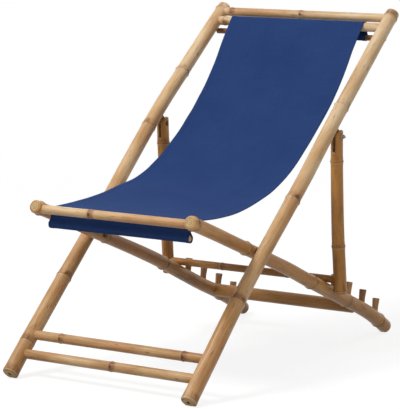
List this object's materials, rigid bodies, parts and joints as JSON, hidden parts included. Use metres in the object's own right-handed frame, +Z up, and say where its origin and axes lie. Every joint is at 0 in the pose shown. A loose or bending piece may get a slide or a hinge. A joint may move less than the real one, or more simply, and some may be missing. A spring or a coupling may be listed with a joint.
{
  "type": "folding recliner",
  "caption": "Bamboo folding deck recliner: long back poles crossed by peg-stopped seat poles, a hinged prop frame behind, and a hanging navy canvas sling",
  "frame": {"origin": "middle of the bounding box on the floor, between the front and rear feet", "axes": "+X to the sitter's left across the recliner, +Y from the front feet to the back, +Z up"},
  "size_m": [0.6246, 1.1108, 0.9398],
  "materials": {
    "pale_bamboo": "peeled and varnished pale bamboo culm, satin",
    "warm_bamboo": "varnished bamboo culm of a warmer tan, satin",
    "dark_bamboo": "varnished bamboo culm, darker brown, satin",
    "dowel_wood": "turned wooden dowel, unvarnished",
    "navy_canvas": "plain-woven cotton canvas, matt",
    "zinc_steel": "zinc-plated steel fasteners, dull"
  },
  "bodies": {
    "main_frame": {"back_pole_left": "pale_bamboo", "back_pole_right": "pale_bamboo", "lower_foot_rail": "warm_bamboo", "upper_foot_rail": "warm_bamboo", "canvas_head_rail": "pale_bamboo", "head_rail": "pale_bamboo", "hinge_tongue_left": "warm_bamboo", "hinge_tongue_right": "warm_bamboo", "head_dowel": "dowel_wood", "canvas": "navy_canvas", "pivot_bolt_left": "zinc_steel", "pivot_bolt_right": "zinc_steel", "pivot_washer_left": "zinc_steel", "pivot_washer_right": "zinc_steel", "pivot_spacer_left": "zinc_steel", "pivot_spacer_right": "zinc_steel", "pivot_insert_left": "zinc_steel", "pivot_insert_right": "zinc_steel"},
    "seat_frame": {"seat_pole_left": "warm_bamboo", "seat_pole_right": "warm_bamboo", "front_rail": "pale_bamboo", "canvas_front_rail": "pale_bamboo", "rear_rail": "dark_bamboo", "front_dowel": "dowel_wood", "stop_peg_left_1": "warm_bamboo", "stop_peg_left_2": "warm_bamboo", "stop_peg_left_3": "warm_bamboo", "stop_peg_left_4": "warm_bamboo", "stop_peg_right_1": "warm_bamboo", "stop_peg_right_2": "warm_bamboo", "stop_peg_right_3": "warm_bamboo", "stop_peg_right_4": "warm_bamboo"},
    "prop_frame": {"prop_pole_left": "dark_bamboo", "prop_pole_right": "dark_bamboo", "prop_bar": "dark_bamboo", "hinge_bolt_left": "zinc_steel", "hinge_bolt_right": "zinc_steel", "hinge_washer_left": "zinc_steel", "hinge_washer_right": "zinc_steel", "hinge_nut_left": "zinc_steel", "hinge_nut_right": "zinc_steel"}
  },
  "joints": [
    {"name": "seat_fold", "type": "hinge", "parent": "main_frame", "child": "seat_frame", "pos_m": [0, -0.18784, 0.33918], "axis": [1, 0, 0], "range_deg": [-42, 0], "deforming": ["canvas"]},
    {"name": "prop_swing", "type": "hinge", "parent": "main_frame", "child": "prop_frame", "pos_m": [0, 0.17905, 0.60807], "axis": [1, 0, 0], "range_deg": [-42, 0]}
  ],
  "couplings": [
    {"joint": "prop_swing", "follows": "seat_fold", "ratio": 1}
  ]
}
